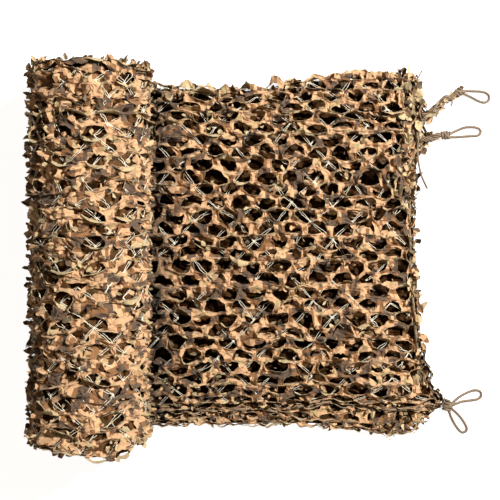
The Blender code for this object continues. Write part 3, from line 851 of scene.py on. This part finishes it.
class NETTING_OT_under_layer(bpy.types.Operator):
    """Lay out the layer under the loose end, on the floor; where the upper layer covers it, its faces
    take a near-black copy of the print, painted shade
    """
    bl_idname = "netting.under_layer"
    bl_label = "Under layer"

    def execute(self, context):
        sizes = context.scene.netting_sizes
        pitch = (sizes.cut_pitch, sizes.row_pitch)
        opening = (0.95 * sizes.opening_width, 0.8 * sizes.opening_height)
        tiles = tiles_inside(range(-5, 8), range(-18, 15), pitch, UNDER_CUT_START, LOWER_RIM, 12 * MM)
        relief = unevenness(2.0, (2.2, 0.05, 31), (2.4, 0.024, 32))
        inner = materials()["printed_oxford_painted_deep_shade"]

        # Faces under the upper layer: painted shade
        def covered(place):
            return place[:, 1] > along(UPPER_RIM, place[:, 0]) + 6 * MM

        piece = net_cloth("loose_end_under_layer", tiles, pitch, UNDER_CUT_START, opening,
                          lay_on_lower, relief, LOOSE_TONGUES, [*cloth_materials(), inner, inner],
                          seed=4, painted_shade_faces=covered)
        finish_cloth(piece, sizes.cloth, "net_loose_end", flat=(0.66, 0.82), held="laid")
        return {"FINISHED"}


class NETTING_OT_loose_end(bpy.types.Operator):
    """Lay out the loose end's upper layer, with its fold"""
    bl_idname = "netting.loose_end"
    bl_label = "Loose end"

    def execute(self, context):
        sizes = context.scene.netting_sizes
        pitch = (sizes.cut_pitch, sizes.row_pitch)
        opening = (sizes.opening_width, sizes.opening_height)
        tiles = tiles_inside(range(-5, 9), range(-17, 17), pitch, CUT_START, UPPER_RIM, 44 * MM)
        relief = unevenness(2.0, (1.6, 0.06, 21), (2.2, 0.026, 22), (2.0, 0.015, 23))
        piece = net_cloth("loose_end_cloth", tiles, pitch, CUT_START, opening, lay_on_upper, relief,
                          LOOSE_TONGUES, cloth_materials(), seed=3)
        finish_cloth(piece, sizes.cloth, "net_loose_end", flat=(0.66, 0.82), held="laid",
                     rests_on=["loose_end_under_layer"])
        return {"FINISHED"}


class NETTING_OT_inner_turns(bpy.types.Operator):
    """Wind the turns inside the roll, their outside in a near-black copy of the print: painted shade"""
    bl_idname = "netting.inner_turns"
    bl_label = "Inner turns"

    def execute(self, context):
        steps = ROLL_TURNS * 48
        wound = np.linspace(0, 1, steps + 1)
        radius = (ROLL_RADIUS - TURNS_START) * (1 - wound) + CORE * wound
        length = np.concatenate([[0], np.cumsum(radius[1:] * 2 * math.pi * ROLL_TURNS / steps)])
        angle = 2 * math.pi * ROLL_TURNS * wound
        radius, angle, u = (column[:, None] for column in (radius, angle, length))
        outer = (radius / ROLL_RADIUS) ** 2
        dome = END_DOME * (1 - outer) - TURNS_SHORTER
        low = ROLL_NEAR_END - dome + 5 * MM * waves(u, 0.0, 0.03, 51) - outer * roll_reach(angle, -1)
        high = ROLL_FAR_END + dome + 5 * MM * waves(u, 0.0, 0.03, 52) + outer * roll_reach(angle, 1)
        v = low + (high - low) * np.linspace(0, 1, 29)
        u, angle, radius, v = np.broadcast_arrays(u, angle, radius, v)
        made = materials()
        piece = grid_piece("roll_inner_turns",
                           roll_point(angle, v, radius + 1.6 * MM * waves(u, v, 0.05, 53)),
                           np.stack([u, v], axis=-1),
                           [made["printed_oxford_painted_deep_shade"], made["printed_oxford_reverse"]],
                           over=True)
        finish_cloth(piece, INNER_CLOTH, "net_roll", flat=(0.70, float(length[-1])), held="folded")
        return {"FINISHED"}


class NETTING_OT_second_turn(bpy.types.Operator):
    """Wrap the turn under the roll's outer one, seen crumpled through its cuts, in a dark copy of the
    print: painted shade
    """
    bl_idname = "netting.second_turn"
    bl_label = "Second turn"

    def execute(self, context):
        u, v = np.meshgrid(np.linspace(0, 2 * math.pi * ROLL_RADIUS, 113),
                           np.linspace(ROLL_NEAR_END - 8 * MM, ROLL_FAR_END + 4 * MM, 105),
                           indexing="ij")
        places = lay_on_roll(u, v, unevenness(-5.5, (2.2, 0.026, 45), (1.3, 0.013, 46))(u, v))
        places[-1] = places[0]
        # dark copy of the print: painted shade
        shaded = materials()["printed_oxford_painted_shade_second_turn"]
        piece = grid_piece("roll_second_turn", places, np.stack([u + 0.31, v], axis=-1),
                           [shaded, shaded], smooth=False)
        finish_cloth(piece, context.scene.netting_sizes.cloth, "net_roll", flat=(0.70, 0.70),
                     held="folded", rests_on=["roll_inner_turns"])
        return {"FINISHED"}


class NETTING_OT_roll(bpy.types.Operator):
    """Wrap the roll's outer turn"""
    bl_idname = "netting.roll"
    bl_label = "Roll"

    def execute(self, context):
        pitch = (2 * math.pi * ROLL_RADIUS / ROLL_COLUMNS, ROLL_ROW_PITCH)
        tiles = lattice(range(ROLL_COLUMNS), range(-15, 16))
        relief = unevenness(0.0, (3.0, 0.05, 41), (2.4, 0.022, 42), (1.8, 0.014, 43))
        piece = net_cloth("roll_cloth", tiles, pitch, (0.0, 0.0), ROLL_OPENING, lay_on_roll, relief,
                          ROLLED_TONGUES, cloth_materials(), seed=5, around=ROLL_COLUMNS)
        finish_cloth(piece, context.scene.netting_sizes.cloth, "net_roll", flat=(0.70, 0.73),
                     held="folded", rests_on=["roll_inner_turns"])
        return {"FINISHED"}


# ------------------------------------------------------------------ strings and ropes

STRING_SWELL = np.array((1.5, 1.1, 1, 1, 1, 1, 1.1, 1.5))    # strands thicken towards their knots
STRING_CELLS_ROUND = 24      # half cells of the backing net round the roll


def string_lines(across, up, start, cell, lay, depth, missing, seed, around=0):
    """Pairs of strands between the knots of the backing net, whose meshes are diamonds of cell size.

    Knots stand at whole half cells (i, j) from start with i + j even; around is the number of half
    cells that close into a ring, or 0.
    """
    rng = np.random.default_rng(seed)
    knots = {(i, j): rng.normal(0.0, 0.06, 2) * cell for j in up for i in across if (i + j) % 2 == 0}
    steps = np.linspace(0, 1, len(STRING_SWELL))
    bow = np.sin(math.pi * steps)
    lines = []
    for (i, j), drift in knots.items():
        for over in (1, -1):
            ahead = (i + over, j + 1)
            wrapped = (ahead[0] % around, ahead[1]) if around else ahead
            if wrapped not in knots or rng.random() < missing:
                continue
            first = start + 0.5 * cell * (i, j) + drift
            run = start + 0.5 * cell * ahead + knots[wrapped] - first
            aside = np.array((-run[1], run[0])) / np.linalg.norm(run)
            sag = rng.normal(0.0, 1.5 * MM)
            for strand in (-1, 1):
                gap = strand * (0.7 + rng.uniform(0.8, 1.8) * bow) * MM + sag * bow
                kink = rng.normal(0.0, 0.7 * MM, len(steps)) * (bow > 0.1)
                place = first + run * steps[:, None] + aside * (gap + kink)[:, None]
                lift = depth + rng.normal(0.0, 0.7 * MM) + rng.normal(0.0, 2.2 * MM) * bow
                lines.append(lay(place[:, 0], place[:, 1], lift))
    return np.array(lines)


class NETTING_OT_strings(bpy.types.Operator):
    """Knot the backing net of thin string"""
    bl_idname = "netting.strings"
    bl_label = "Backing strings"

    def execute(self, context):
        sizes = context.scene.netting_sizes
        mesh = np.array((sizes.string_mesh, sizes.string_mesh))
        loose = string_lines(range(-6, 10), range(-9, 10), np.array(CUT_START), mesh, lay_on_upper,
                             depth=-4.4 * MM, missing=0.24, seed=61)
        around = STRING_CELLS_ROUND
        mesh = np.array((4 * math.pi * ROLL_RADIUS / around, 2 * ROLL_ROW_PITCH))
        rolled = string_lines(range(around), range(-15, 15), np.array((0.0, -9.8 * MM)), mesh,
                              lay_on_roll, depth=-1.8 * MM, missing=0.3, seed=62, around=around)
        for place, lines in (("loose_end", loose), ("roll", rolled)):
            verts, faces = tubes(lines, 0.5 * sizes.string * STRING_SWELL[:, None], 4)
            piece = new_piece(f"backing_strings_{place}", verts, faces,
                              [materials()["twisted_backing_string"]])
        return {"FINISHED"}


def rope_piece(name, route, diameter, node):
    """Rope of three strands laid round each other: a closed tube whose ridges wind along it."""
    sides = 12
    run = np.concatenate([[0], np.cumsum(np.linalg.norm(np.diff(route, axis=0), axis=1))])
    phase = 2 * math.pi * run / (3.2 * diameter)
    turn = 2 * math.pi * np.arange(sides) / sides
    ridge = 0.86 + 0.14 * np.abs(np.cos(1.5 * (turn - phase[:, None])))
    verts, faces = tubes(route[None], 0.5 * diameter * ridge, sides)
    tips, last = len(verts), len(verts) - sides
    caps = [((k + 1) % sides, k, tips) for k in range(sides)]
    caps += [(last + k, last + (k + 1) % sides, tips + 1) for k in range(sides)]
    piece = new_piece(name, np.concatenate([verts, route[[0, -1]]]), faces,
                      [materials()["laid_polypropylene_rope"]], caps=caps)
    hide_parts(node)
    return piece


class NETTING_OT_ropes(bpy.types.Operator):
    """Lay the edge ropes along the free end and the near rim"""
    bl_idname = "netting.ropes"
    bl_label = "Edge ropes"

    def execute(self, context):
        rope = context.scene.netting_sizes.rope
        for node, table in (("end_rope", END_ROPE), ("rim_rope", RIM_ROPE)):
            route = smooth_route([(x, y, 0) for x, y in table])
            x, y = route[:, 0], route[:, 1]
            dip = 4.0 * MM * waves(x, y, 0.06, 72)
            route[:, 2] = np.maximum(upper_height(x, y) - 0.5 * MM + dip, 4.0 * MM)
            rope_piece(f"{node}_laid", route, rope, node)
        for number, table in enumerate(FREE_STRANDS):
            share = 0.55 if number else 0.8
            rope_piece(f"free_strand_{number}", smooth_route(table), share * rope, "end_rope")
        return {"FINISHED"}


class NETTING_OT_tails(bpy.types.Operator):
    """Gather netting and rope between the loose end and the far knots"""
    bl_idname = "netting.tails"
    bl_label = "Gathered tails"

    def execute(self, context):
        strands = 7
        rng = np.random.default_rng(91)
        for node, table, root, inside, count in TAILS:
            middle = smooth_route([root, *(row[:3] for row in table), inside])
            share = np.linspace(0, 1, len(middle))
            wide = [15.0, *(1.35 * row[3] for row in table), 3.5]
            spread = 0.62 * MM * np.interp(share, np.linspace(0, 1, len(wide)), wide)
            for k in range(strands):
                turn = 2 * math.pi * (k / strands + 0.9 * share)
                away = np.stack([-0.5 * np.cos(turn), np.cos(turn), np.sin(turn)], axis=-1)
                thin = context.scene.netting_sizes.rope * (0.42 if k % 2 else 0.62)
                rope_piece(f"{node}_strand_{k}", middle + spread[:, None] * away, thin, node)
            pick = np.minimum(rng.exponential(0.4, count), 0.9) * (len(middle) - 6)
            roots = middle[pick.astype(int)] + rng.normal(0, 3.5 * MM, (count, 3))
            roots[:, 2] = np.maximum(roots[:, 2], 5 * MM)
            onward = math.atan2(middle[-1, 1] - middle[0, 1], middle[-1, 0] - middle[0, 0])
            heading = onward + rng.normal(0.0, 0.5, count) + math.pi * (rng.random(count) < 0.4)
            loose_leaves(f"{node}_leaves", rng, roots, heading, tilt=(0.1, 0.3),
                         length=(0.014, 0.028), width=(0.006, 0.014), bend=(0.0, 0.7), seed=92,
                         node=node)
        return {"FINISHED"}


class NETTING_OT_knots(bpy.types.Operator):
    """Tie the knots: turns wound round a core and one strand crossing over them"""
    bl_idname = "netting.knots"
    bl_label = "Knots"

    def execute(self, context):
        share = np.linspace(0, 1, 91)
        wraps = 2 * math.pi * KNOT_WRAPS * share
        swell = 0.82 + 0.18 * np.sin(math.pi * share)
        wound = np.stack([2 * share - 1, swell * np.cos(wraps), swell * np.sin(wraps)], axis=-1)
        share = np.linspace(0, 1, 31)
        over = math.pi * (0.15 + 0.8 * share)
        crossing = np.stack([0.8 * (2 * share - 1), 0.9 * np.cos(over), 0.3 + 0.75 * np.sin(over)],
                            axis=-1)
        for node, x, y, long, wide, tall, heading in KNOTS:
            reach = (1.2 * long - 2.8, 1.1 * wide - 2.8, tall - 2.6)    # of the middle of the rope
            for part, line in (("wraps", wound * reach), ("crossing", crossing * reach)):
                across, up = turned(line[:, 0], line[:, 1], math.radians(heading))
                place = np.stack([across + x, up + y, line[:, 2] + tall], axis=-1) * MM
                rope_piece(f"{node}_{part}", place, LOOP_ROPE, node)
        return {"FINISHED"}


class NETTING_OT_loops(bpy.types.Operator):
    """Lay the four rope loops"""
    bl_idname = "netting.loops"
    bl_label = "Rope loops"

    def execute(self, context):
        inside = {name: np.array((x, y, tall)) for name, x, y, _, _, tall, _ in KNOTS}
        for node, knot, points in LOOPS:
            start, end = (inside[knot] + 0.45 * (np.array(point) - inside[knot])
                          for point in (points[0], points[-1]))
            route = smooth_route([start, *points, end])
            piece = rope_piece(node + "_rope", route, LOOP_ROPE, node)
        return {"FINISHED"}


# ------------------------------------------------------------------ leaves

CORNER_LEAVES = ((296, 346), (303, 350), (309, 352), (316, 346), (326, 340), (331, 334))
CROWDED_FROM = 120 * MM      # beyond this y the free end's leaves lie close and deep


def strew(rng, line, places, aside, up, heading, drift=0):
    """Rows of (x, y, z, heading) for leaves strewn along an edge of the loose end.

    All but the heading are in millimetres; places is (start, stop, step) and aside and up are (least,
    most). With a drift heading is (mean, spread), else the leaves stand evenly and it is a range.
    """
    rows = []
    for x in np.arange(*places):
        if drift:
            x = x + rng.normal(0, drift)
        y = along(line, np.array(x * MM)) / MM + rng.uniform(*aside)
        z = rng.uniform(*up)
        rows.append((x, y, z, rng.normal(*heading) if drift else rng.uniform(*heading)))
    return rows


class NETTING_OT_edge_leaves(bpy.types.Operator):
    """Hang cut leaves of cloth over the edges of the loose end and the ends of the roll"""
    bl_idname = "netting.edge_leaves"
    bl_label = "Edge leaves"

    def execute(self, context):
        rng = np.random.default_rng(81)
        rows = strew(rng, FOLD_LINE, (-150, 330, 9.0), (-9, 2), (6, 22), heading=(90, 70), drift=4)
        rows += strew(rng, UPPER_RIM, (-190, 372, 9.0), (-4, 22), (7, 17), heading=(-90, 90), drift=5)
        for y in np.arange(-296, 326, 8.0):
            y = y + rng.normal(0, 4)
            rows.append((free_end_x(y * MM) / MM + rng.uniform(-13, -4), y, rng.uniform(3, 14),
                         rng.normal(0, 75)))
        rows += [(x, y, 16, rng.normal(90, 20)) for x, y in CORNER_LEAVES]
        rows += strew(rng, LOWER_RIM, (262, 350, 3.0), (8, 34), (4, 14), heading=(0, 360))
        rows += strew(rng, LOWER_RIM, (-190, 380, 5.0), (10, 20), (3, 10), heading=(-90, 70), drift=4)
        for end, heading in ((ROLL_FAR_END, 90), (ROLL_NEAR_END, -90)):
            for turn in np.arange(0.0, 2 * math.pi, 0.05):
                radius = ROLL_RADIUS - rng.uniform(-1, 16) * MM
                angle = turn + rng.normal(0, 0.03)
                y = end - math.copysign(rng.uniform(-2, 10) * MM, heading)
                rows.append((*roll_point(angle, y, radius) / MM, heading + rng.normal(0, 65)))
        rows = np.array(rows, float)
        loose_leaves("edge_leaves", rng, rows[:, :3] * MM, np.radians(rows[:, 3]), tilt=(0.1, 0.55),
                     length=(0.010, 0.020), width=(0.008, 0.015), bend=(0.0, 1.6), seed=82)

        y = np.concatenate([np.arange(120, 344, 1.3), np.arange(-290, 120, 5.0)]) * MM
        count = len(y)
        crowded = y > CROWDED_FROM
        x = np.minimum(free_end_x(y), 347 * MM)
        x -= rng.uniform(1.0, np.where(crowded, 46.0, 14.0)) * MM
        z = upper_height(x, y)
        z += np.where(crowded, rng.uniform(4, 12, count), rng.uniform(-2, 5, count)) * MM
        heading = math.pi * (rng.choice((-0.5, 0.5), count) + rng.normal(0.0, 0.17, count))
        loose_leaves("end_leaves", rng, np.column_stack([x, y, z]), heading, tilt=(0.0, 0.3),
                     length=(0.018, 0.032), width=(0.010, 0.018), bend=(-0.3, 0.8), seed=84)

        y = np.arange(-345, 347, 6.0) * MM
        roots = roll_point(math.pi + rng.normal(0.0, 0.3, len(y)), y, ROLL_RADIUS - 2 * MM)
        heading = math.pi + rng.normal(0.0, 0.9, len(y))
        loose_leaves("side_leaves", rng, roots, heading, tilt=(0.1, 0.4), length=(0.012, 0.022),
                     width=(0.008, 0.015), bend=(0.0, 0.9), seed=85)
        return {"FINISHED"}


class NETTING_OT_scattered_leaves(bpy.types.Operator):
    """Turn up single leaves of cloth all over the roll and the loose end"""
    bl_idname = "netting.scattered_leaves"
    bl_label = "Scattered leaves"

    def execute(self, context):
        for name, seed, count, low, high, lay, node in (
                ("roll_leaves", 11, 1500, (0.0, -0.352), (2 * math.pi * ROLL_RADIUS, 0.350),
                 lay_on_roll, "net_roll"),
                ("loose_end_leaves", 16, 520, (-0.235, -0.345), (0.345, 0.345), lay_on_upper,
                 "net_loose_end")):
            rng = np.random.default_rng(seed)
            flat = rng.uniform(low, high, (count, 2))
            roots = np.column_stack([flat, rng.uniform(-1.5, 2.5, count) * MM])
            loose_leaves(name, rng, roots, rng.uniform(0, 2 * math.pi, count), tilt=(0.25, 0.4),
                         length=(0.008, 0.018), width=(0.006, 0.012), bend=(0.0, 1.5), seed=83,
                         node=node, lay=lay)
        return {"FINISHED"}


# ------------------------------------------------------------------ stage

CAMERA_HEIGHT = 1.7
CAMERA_LENS = 60.3
FLOOR_GREY = 0.42
FLOOR_GLOW = 0.90
BACKDROP = 0.93
ROOM_COLOUR = (1, 0.76, 0.50, 1)
ROOM_STRENGTH = 0.22
# Lamps: name, watts, size, place
LAMPS = (
    ("key", 264.0, 0.22, (1.6, 1.1, 2.2)),
    ("fill", 4.0, 2.5, (-1.4, -1.2, 2.2)),
)


class NETTING_OT_stage(bpy.types.Operator):
    """Set the floor, the lights and the camera"""
    bl_idname = "netting.stage"
    bl_label = "Stage"

    def execute(self, context):
        scene = context.scene
        bpy.ops.mesh.primitive_plane_add(size=12.0, location=(0, 0, 0))
        floor = context.active_object
        floor.name = "floor"
        material, _, shader = new_material("pale_floor", 0.9)
        shader.inputs["Base Color"].default_value = (FLOOR_GREY, FLOOR_GREY, FLOOR_GREY, 1)
        shader.inputs["Emission Color"].default_value = (1, 1, 1, 1)
        shader.inputs["Emission Strength"].default_value = FLOOR_GLOW
        floor.data.materials.append(material)

        camera_data = bpy.data.cameras.new("camera")
        camera_data.lens = CAMERA_LENS
        camera_data.sensor_width = 36.0
        camera = bpy.data.objects.new("camera", camera_data)
        camera.location = (MIDDLE[0], MIDDLE[1], CAMERA_HEIGHT)
        scene.collection.objects.link(camera)
        scene.camera = camera

        for name, energy, size, place in LAMPS:
            light = bpy.data.lights.new(name, "AREA")
            light.energy = energy
            light.color = (0.98, 1.0, 1.05)
            light.size = size
            lamp = bpy.data.objects.new(name, light)
            lamp.location = place
            lamp.rotation_euler = (-Vector(place)).to_track_quat("-Z", "Y").to_euler()
            scene.collection.objects.link(lamp)

        world = bpy.data.worlds.new("studio")
        world.use_nodes = True
        tree = world.node_tree
        room = tree.nodes["Background"]
        room.inputs["Color"].default_value = ROOM_COLOUR
        room.inputs["Strength"].default_value = ROOM_STRENGTH
        backdrop = add_node(tree, "ShaderNodeBackground",
                            {"Color": (BACKDROP, BACKDROP, BACKDROP, 1), "Strength": 1.0})
        seen = add_node(tree, "ShaderNodeLightPath").outputs["Is Camera Ray"]
        mixed = add_node(tree, "ShaderNodeMixShader", {},
                         {0: seen, 1: room.outputs[0], 2: backdrop.outputs[0]})
        tree.links.new(mixed.outputs[0], tree.nodes["World Output"].inputs["Surface"])
        scene.world = world
        scene.view_settings.view_transform = "Standard"
        return {"FINISHED"}


class NETTING_PT_panel(bpy.types.Panel):
    """Builds the netting piece by piece"""
    bl_label = "Camouflage netting"
    bl_idname = "NETTING_PT_panel"
    bl_space_type = "VIEW_3D"
    bl_region_type = "UI"
    bl_category = "Netting"

    def draw(self, context):
        layout = self.layout
        for group in (context.scene.netting_sizes, context.scene.netting_looks):
            column = layout.column(align=True)
            for name in group.__annotations__:
                column.prop(group, name)
        for operator in OPERATORS:
            layout.operator(operator.bl_idname)


OPERATORS = (NETTING_OT_stage, NETTING_OT_loops, NETTING_OT_lowest_layer, NETTING_OT_under_layer,
             NETTING_OT_loose_end, NETTING_OT_inner_turns, NETTING_OT_second_turn, NETTING_OT_roll,
             NETTING_OT_strings, NETTING_OT_ropes, NETTING_OT_tails, NETTING_OT_knots,
             NETTING_OT_edge_leaves, NETTING_OT_scattered_leaves)
CLASSES = (NettingSizes, NettingLooks, *OPERATORS, NETTING_PT_panel)


def register():
    for each in CLASSES:
        bpy.utils.register_class(each)
    bpy.types.Scene.netting_sizes = bpy.props.PointerProperty(type=NettingSizes)
    bpy.types.Scene.netting_looks = bpy.props.PointerProperty(type=NettingLooks)


def unregister():
    del bpy.types.Scene.netting_sizes
    del bpy.types.Scene.netting_looks
    for each in reversed(CLASSES):
        bpy.utils.unregister_class(each)


def main():
    register()
    bpy.ops.netting.stage()
    bpy.ops.netting.loops()
    bpy.ops.netting.lowest_layer()
    bpy.ops.netting.under_layer()
    bpy.ops.netting.loose_end()
    bpy.ops.netting.inner_turns()
    bpy.ops.netting.second_turn()
    bpy.ops.netting.roll()
    bpy.ops.netting.strings()
    bpy.ops.netting.ropes()
    bpy.ops.netting.tails()
    bpy.ops.netting.knots()
    bpy.ops.netting.edge_leaves()
    bpy.ops.netting.scattered_leaves()


if __name__ == "__main__":
    main()
